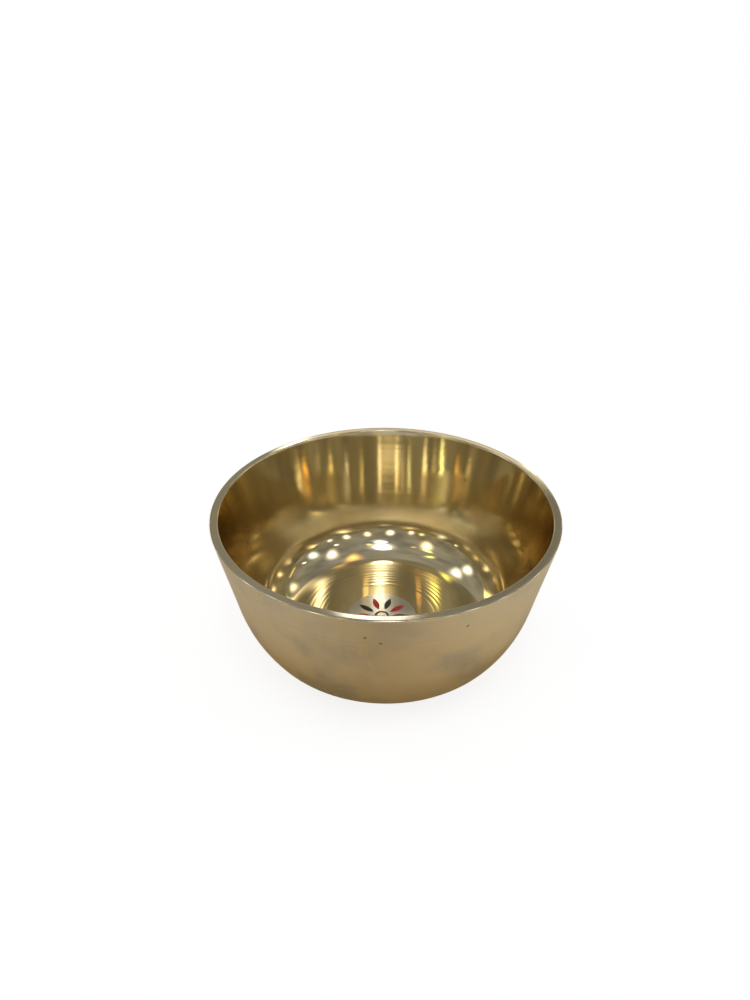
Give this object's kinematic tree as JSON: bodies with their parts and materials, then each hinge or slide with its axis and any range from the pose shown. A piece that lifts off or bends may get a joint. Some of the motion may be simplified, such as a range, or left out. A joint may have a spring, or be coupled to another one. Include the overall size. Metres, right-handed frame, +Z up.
{
  "type": "singing bowl",
  "caption": "Round turned bronze singing bowl with a thick flat rim, flat base, fine turning rings inside and a round label stuck on its inside floor.",
  "frame": {"origin": "centre of the flat base that the bowl stands on", "axes": "+Z up along the bowl's axis towards the rim; +X to the right and +Y away, as the bowl is usually seen from the front"},
  "size_m": [0.16, 0.16, 0.072],
  "materials": {
    "bronze": "polished turned inside, satin brushed outside",
    "label_film": "satin silver-grey film",
    "ink_black": "printed ink",
    "ink_red": "printed ink"
  },
  "bodies": {
    "root": {"bowl": "bronze", "label_film": "label_film", "label_print_black": "ink_black", "label_print_red": "ink_red"}
  },
  "joints": []
}
